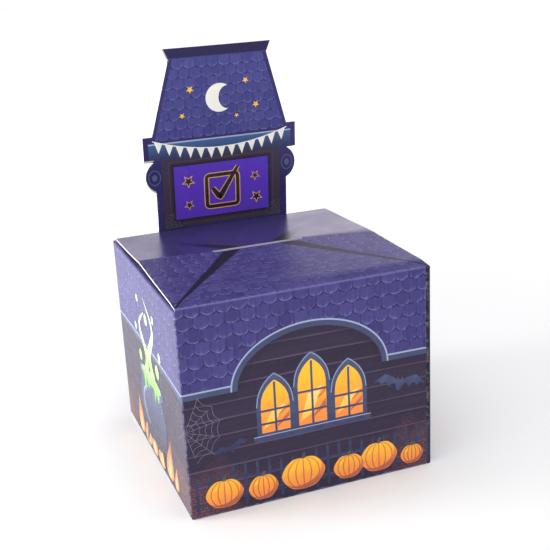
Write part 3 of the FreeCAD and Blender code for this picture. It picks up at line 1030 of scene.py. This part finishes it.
# left wall: cauldron over a fire, drawn small and enlarged about its foot
cauldron = {"scale": 1.38, "base": 2, "low": 12, "tall": 40, "half": 31, "rim": 53, "legs": (-17, 17),
            "mouth": (28, 6), "surface": (23.5, 4.2),
            "profile": ((0, 0.08, 0.2, 0.42, 0.7, 0.9, 1), (0.42, 0.62, 0.82, 1, 0.96, 0.78, 0.76))}
flames = [(-36, 4, 8, 27, -5), (-20, 3, 9, 22, 3), (-4, 3, 8, 18, -2), (13, 3, 9, 21, 4), (32, 4, 9, 29, 6),
          (46, 4, 5, 17, 3)]
drips = [(-15, 12), (-7, 7), (9, 15), (16, 8)]
plumes = [(-10, 7, 40, 8), (7, -8, 50, 9)]
bubbles = [(-22, 62, 3.6), (19, 66, 4.4), (-3, 70, 3), (28, 78, 3), (-28, 79, 2.6), (1, 92, 3.6),
           (20, 98, 2.6), (-17, 100, 2.4), (-8, 58, 3.4), (8, 59, 3.0)]


def printPot(name, grids, inkName, layer):
    foot = np.array((0, cauldron["base"] * (1 - cauldron["scale"])))
    printMotif(name, "left", [grid * cauldron["scale"] + foot for grid in grids], inkName, layer)


def flame(x, z, wide, tall, lean):
    # teardrop that sways to its tip
    s = np.linspace(0.02, 0.985, 21)
    return spindle(x + lean * s**2, wide * np.sin(np.pi * s**0.55) * (1 - s) ** 0.35, z + tall * s)


printPot("flames", [flame(*f) for f in flames], "flame", 1)
hearts = [flame(x, z + 1, wide * 0.5, tall * 0.6, lean * 0.6) for x, z, wide, tall, lean in flames]
printPot("flameHearts", hearts, "heart", 2)
up = np.linspace(0, 1, 21)
rim = cauldron["rim"]
belly = cauldron["half"] * np.interp(up, *cauldron["profile"])
pot = [spindle(0, belly, cauldron["low"] + cauldron["tall"] * up), discGrid((0, rim), cauldron["mouth"])]
pot += [stroke(x * (1 + 0.25 * up), 16 - 11 * up, 5 - 2 * up) for x in cauldron["legs"]]
printPot("cauldron", pot, "iron", 3)
turn = np.linspace(-0.35, 0.35, 15) * np.pi
lip = np.linspace(-0.96, 0.96, 31)
shine = [stroke(-24 * np.cos(turn), 33 + 14 * np.sin(turn), 1.6 * np.cos(turn))]
shine.append(stroke(lip * 27 / 0.96, rim - 5.2 * np.sqrt(1 - lip**2), 0.9))
printPot("cauldronShine", shine, "pale", 4)
brew = [discGrid((0, rim + 1), cauldron["surface"])]
s = np.linspace(-1, 1, 13)
for x, fall in drips:
    brew.append(band(x + 3 * s, rim - fall * np.sqrt(1 - s**2), rim + 1, 5))
wave = np.linspace(0, 1, 41)
for x, sway, tall, wide in plumes:
    across = x + sway * np.sin(7 * wave) * (0.4 + wave)
    brew.append(stroke(across, rim + 2 + tall * wave, wide * (1 - wave) ** 0.7 + 0.15))
printPot("brew", brew, "brew", 5)
printPot("bubbles", [discGrid((x, z), (r, r)) for x, z, r in bubbles], "foam", 6)
printMotif("leftWeb", "left", webThreads(*webs["left"]), "web", 1)

# right and rear walls: bats
rightBats = [bat((-60, 70), 42, 0.2), bat((46, 56), 30, -0.1), bat((70, 80), 44, -0.25)]
printMotif("rightBats", "right", rightBats, "bat", 1)
printMotif("rearBats", "rear", [bat((12, 60), 32, 0.15), bat((62, 78), 46, -0.25)], "bat", 1)
print("wall motifs ready")

# header: garland of pennants on the beam, moon and stars on the roof, ballot mark on the sign
garland = {"half": 61.5, "high": 82.5, "sag": 11, "count": 13, "wide": 3.6, "long": 9.5, "cord": 0.9}
moon = {"outer": ((0, 115), (12.5, 12.5), 0.30, 1.70), "inner": ((7.35, 115), (8.2, 10.1), 0.50, 1.50)}
stars = [(-26, 124, 3.6), (24, 128, 3.0), (-34, 102, 2.8), (33, 106, 3.4), (15, 98, 2.2)]
left, right, low, high = np.array(headerPrint["sign"]) / mm
middle = np.array((0.5 * (left + right), 0.5 * (low + high)))
mark = {"half": 14.5, "drop": 1.5, "line": 3.2, "edge": 1.6, "corner": 14,
        "tick": ((-9, 1), (-2.5, -8), (15, 19)), "tickWide": (3.4, 5.2, 2.6), "tickEdge": 1.5}
signStars = [(-31, 10, 6.5), (-31, -12, 5), (31, 8, 5), (32, -12, 6.5)]
corbelRing = {"x": 61.4, "high": 49.9, "size": (5.2, 6.6), "line": 0.9, "boss": (2.3, 2.9)}


def garlandAt(x):
    return garland["high"] - garland["sag"] * (1 - (x / garland["half"]) ** 2)


def starGrids(rows, about=(0, 0), scale=1.0):
    return [discGrid(np.add(about, row[:2]), (row[2] * scale,) * 2, starOutline, 0.3, 25) for row in rows]


cordLine = np.linspace(-garland["half"], garland["half"], 61)
pennants = [stroke(cordLine, garlandAt(cordLine), garland["cord"])]
s = np.linspace(-1, 1, 9)
for x in np.linspace(-0.92, 0.92, garland["count"]) * garland["half"]:
    across = x + s * garland["wide"]
    top = garlandAt(across)
    pennants.append(band(across, top - garland["long"] * (1 - np.abs(s)) - 0.1, top))
printMotif("garland", "header", pennants, "bone", 2)
crescent = between(arcPath(*moon["inner"], 41), arcPath(*moon["outer"], 41), 6)
printMotif("moon", "header", [crescent], "bone", 1)
printMotif("stars", "header", starGrids(stars), "gold", 1)
# ballot mark: closed square with eased corners, crossed by a tick
turn = np.linspace(0, 2 * np.pi, 97)
c, s, power = np.cos(turn), np.sin(turn), mark["corner"]
reach = mark["half"] * (np.abs(c) ** power + np.abs(s) ** power) ** (-1 / power)
boxLine = curve(middle[0] + reach * c, middle[1] - mark["drop"] + reach * s)
first, bottom, last = mark["tick"]
tickPath = np.concatenate([np.linspace(first, bottom, 9), np.linspace(bottom, last, 17)[1:]]) + middle
tickWide = np.interp(np.arange(len(tickPath)), (0, 8, len(tickPath) - 1), mark["tickWide"])
outline = [ribbon(boxLine, mark["line"] + mark["edge"]), ribbon(tickPath, tickWide + mark["tickEdge"])]
printMotif("signOutline", "header", outline, "gold", 1)
printMotif("signMark", "header", [ribbon(boxLine, mark["line"]), ribbon(tickPath, tickWide)], "maroon", 2)
printMotif("signStarEdges", "header", starGrids(signStars, middle), "gold", 1)
printMotif("signStars", "header", starGrids(signStars, middle, 0.72), "maroon", 2)
rings = []
for x in (-corbelRing["x"], corbelRing["x"]):
    rings.append(ribbon(arcPath((x, corbelRing["high"]), corbelRing["size"], 0, 2, 49), corbelRing["line"]))
    rings.append(discGrid((x, corbelRing["high"]), corbelRing["boss"]))
printMotif("corbelRings", "header", rings, "slate", 2)
threads = webThreads(*webs["headerLeft"]) + webThreads(*webs["headerRight"])
printMotif("headerWebs", "header", threads, "webDim", 1)
print("header motifs ready")

# camera as fitted to the box's corners in the photograph
view = {"target": (0.0552 * boxWidth, 0, boxTop - 0.1098 * boxWidth), "azimuth": -19.656, "elevation": 18.251,
        "distance": 4.0943 * boxWidth, "roll": -3.05, "lens": 65.85, "sensor": 36}


def addCamera():
    az, el, roll = (math.radians(view[key]) for key in ("azimuth", "elevation", "roll"))
    swing = Matrix.Rotation(az, 4, "Z") @ Matrix.Rotation(math.pi / 2 - el, 4, "X")
    away = Matrix.Rotation(roll, 4, "Z") @ Matrix.Translation((0, 0, view["distance"]))
    camera = bpy.data.objects.new("camera", bpy.data.cameras.new("camera"))
    camera.data.lens = view["lens"]
    camera.data.sensor_width = view["sensor"]
    camera.matrix_world = Matrix.Translation(view["target"]) @ swing @ away
    bpy.context.scene.collection.objects.link(camera)
    bpy.context.scene.camera = camera


# lamps as (power, size, place); room and backdrop as strengths near the horizon and overhead
lamps = {"overhead": (58.0, 3.0, (-0.3, -0.4, 2.5)), "left": (10.6, 0.34, (-1.0, 0.2, 0.19))}
lampAim = (0, 0, 0.12)
room = {"low": 1.48, "high": 0.42, "lowEnd": 0.24, "highStart": 0.50}
backdrop = {"low": 3.6, "high": 0.12, "lowEnd": 0.18, "highStart": 0.35, "tint": (1.0, 0.93, 1.0, 1.0),
            "least": 0.36, "brightens": (-0.1, 0.55), "begins": (0.2, 0.7)}
stageFloor = {"reach": 30.0, "drop": 0.3 * mm, "tones": ((0.84, 0.84, 0.85, 1), (0.88, 0.88, 0.88, 1)),
              "rough": 0.7, "farGlow": 0.55, "glowReach": (0.2, 1.6)}


def addSurround():
    # a white surround that is brightest at the horizon, with a backdrop that brightens to the right
    world = bpy.data.worlds.new("studio")
    world.use_nodes = True
    tree = world.node_tree
    way = Wire(tree, tree.nodes.new("ShaderNodeTexCoord").outputs["Generated"])
    across, along, height = way.axes()
    glows = []
    for part in (room, backdrop):
        fade = height.smooth(part["lowEnd"], part["highStart"])
        glows.append(fade * (part["high"] - part["low"]) + part["low"])
    around, rear = glows
    least = backdrop["least"]
    rear = rear * (across.smooth(*backdrop["brightens"]) * (1 - least) + least)
    behind = along.smooth(*backdrop["begins"])
    background = tree.nodes["Background"]
    link(around * (1 - behind) + rear * behind, background, "Strength")
    link(behind.over((1, 1, 1, 1), backdrop["tint"]), background, "Color")
    bpy.context.scene.world = world


def addFloor():
    # pale floor that glows towards the distance
    reach = stageFloor["reach"]
    x, y = np.meshgrid(np.linspace(-reach, reach, 3), np.linspace(-reach, reach, 3))
    material, shader, place, *axes = startMaterial("paleFloor")
    link((noise(place, 6.0) * 0.02 + 0.5).over(*stageFloor["tones"]), shader, "Base Color")
    shader.inputs["Roughness"].default_value = stageFloor["rough"]
    distance = (axes[0] * axes[0] + axes[1] * axes[1]).math("SQRT")
    far = distance.smooth(*stageFloor["glowReach"]) * stageFloor["farGlow"]
    link(grey(far), shader, "Emission Color")
    shader.inputs["Emission Strength"].default_value = 1.0
    face = np.stack([x, y, x * 0 - stageFloor["drop"]], axis=-1)
    addMesh("floor", [face], [material], (0, 0, 1))


def addLamps():
    for name, (power, size, spot) in lamps.items():
        lamp = bpy.data.objects.new(name + "Light", bpy.data.lights.new(name + "Light", "AREA"))
        lamp.data.energy = power
        lamp.data.size = size
        lamp.location = spot
        lamp.rotation_euler = (Vector(lampAim) - Vector(spot)).to_track_quat("-Z", "Y").to_euler()
        bpy.context.scene.collection.objects.link(lamp)


addCamera()
addSurround()
addFloor()
addLamps()
bpy.context.scene.view_settings.view_transform = "Standard"
print("camera and studio ready")
